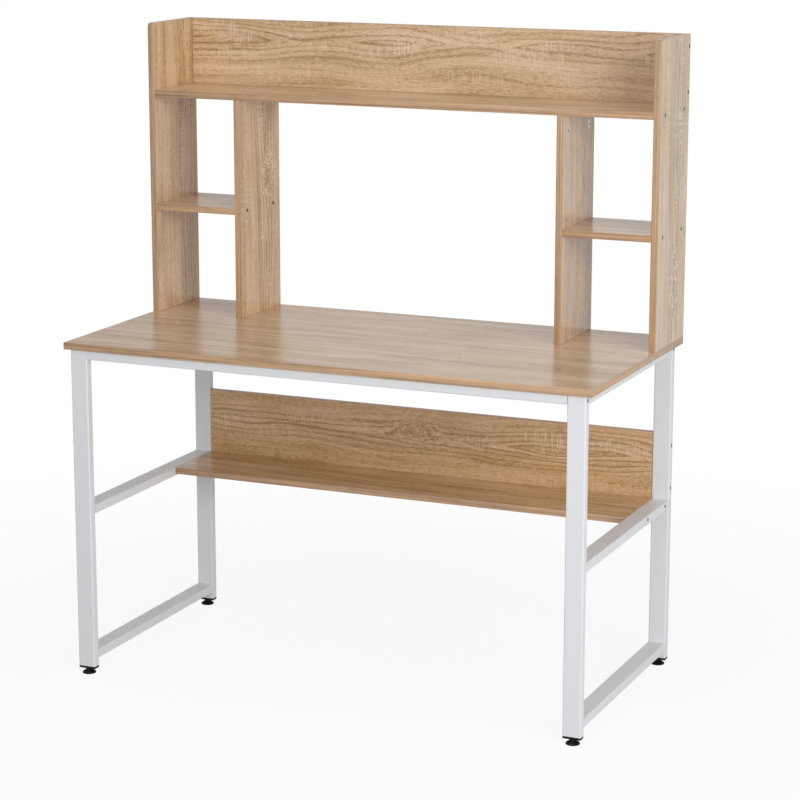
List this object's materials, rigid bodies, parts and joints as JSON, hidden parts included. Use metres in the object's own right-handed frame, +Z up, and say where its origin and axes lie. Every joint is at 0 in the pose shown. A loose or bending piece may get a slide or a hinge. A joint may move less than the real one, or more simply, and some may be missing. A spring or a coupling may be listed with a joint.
{
  "type": "student desk with hutch",
  "caption": "Writing desk with an oak-look top and a shelved hutch, on a white rectangular-tube steel frame with a lower shelf and screw-in levelling feet.",
  "frame": {"origin": "on the floor, below the middle of the desktop's outline", "axes": "+X to the user's right when seated, +Y towards the rear, +Z up"},
  "size_m": [1.2, 0.597, 1.397],
  "materials": {
    "oak_board": "satin",
    "oak_edge": "satin",
    "white_frame": "satin",
    "black_plastic": "satin",
    "steel_fittings": "satin"
  },
  "bodies": {
    "desk": {"bottom_rail_left": "white_frame", "bottom_rail_right": "white_frame", "cam_nuts": "steel_fittings", "cam_pins": "steel_fittings", "cross_rail_bolts": "steel_fittings", "cross_rail_front": "white_frame", "cross_rail_plugs": "steel_fittings", "cross_rail_rear": "white_frame", "desktop": "oak_board", "desktop_edge_band": "oak_edge", "desktop_screws": "steel_fittings", "foot_nuts": "steel_fittings", "hutch_back": "oak_board", "hutch_back_edge_band": "oak_edge", "hutch_base_screws": "steel_fittings", "hutch_screws": "steel_fittings", "hutch_side_left": "oak_board", "hutch_side_left_edge_band": "oak_edge", "hutch_side_right": "oak_board", "hutch_side_right_edge_band": "oak_edge", "long_shelf": "oak_board", "long_shelf_edge_band": "oak_edge", "lower_back": "oak_board", "lower_back_edge_band": "oak_edge", "lower_shelf": "oak_board", "lower_shelf_edge_band": "oak_edge", "middle_rail_left": "white_frame", "middle_rail_right": "white_frame", "panel_bolts": "steel_fittings", "panel_inserts": "steel_fittings", "post_cap_front_left": "black_plastic", "post_cap_front_right": "black_plastic", "post_cap_rear_left": "black_plastic", "post_cap_rear_right": "black_plastic", "post_front_left": "white_frame", "post_front_right": "white_frame", "post_rear_left": "white_frame", "post_rear_right": "white_frame", "small_shelf_left": "oak_board", "small_shelf_left_edge_band": "oak_edge", "small_shelf_right": "oak_board", "small_shelf_right_edge_band": "oak_edge", "top_rail_left": "white_frame", "top_rail_right": "white_frame", "upright_left": "oak_board", "upright_left_edge_band": "oak_edge", "upright_right": "oak_board", "upright_right_edge_band": "oak_edge"},
    "foot_front_left": {"foot_base_front_left": "black_plastic", "foot_stud_front_left": "steel_fittings"},
    "foot_front_right": {"foot_base_front_right": "black_plastic", "foot_stud_front_right": "steel_fittings"},
    "foot_rear_left": {"foot_base_rear_left": "black_plastic", "foot_stud_rear_left": "steel_fittings"},
    "foot_rear_right": {"foot_base_rear_right": "black_plastic", "foot_stud_rear_right": "steel_fittings"}
  },
  "joints": [
    {"name": "foot_front_left_travel", "type": "slide", "parent": "desk", "child": "foot_front_left", "axis": [0, 0, -1], "range_m": [0, 0.01]},
    {"name": "foot_front_right_travel", "type": "slide", "parent": "desk", "child": "foot_front_right", "axis": [0, 0, -1], "range_m": [0, 0.01]},
    {"name": "foot_rear_left_travel", "type": "slide", "parent": "desk", "child": "foot_rear_left", "axis": [0, 0, -1], "range_m": [0, 0.01]},
    {"name": "foot_rear_right_travel", "type": "slide", "parent": "desk", "child": "foot_rear_right", "axis": [0, 0, -1], "range_m": [0, 0.01]}
  ]
}
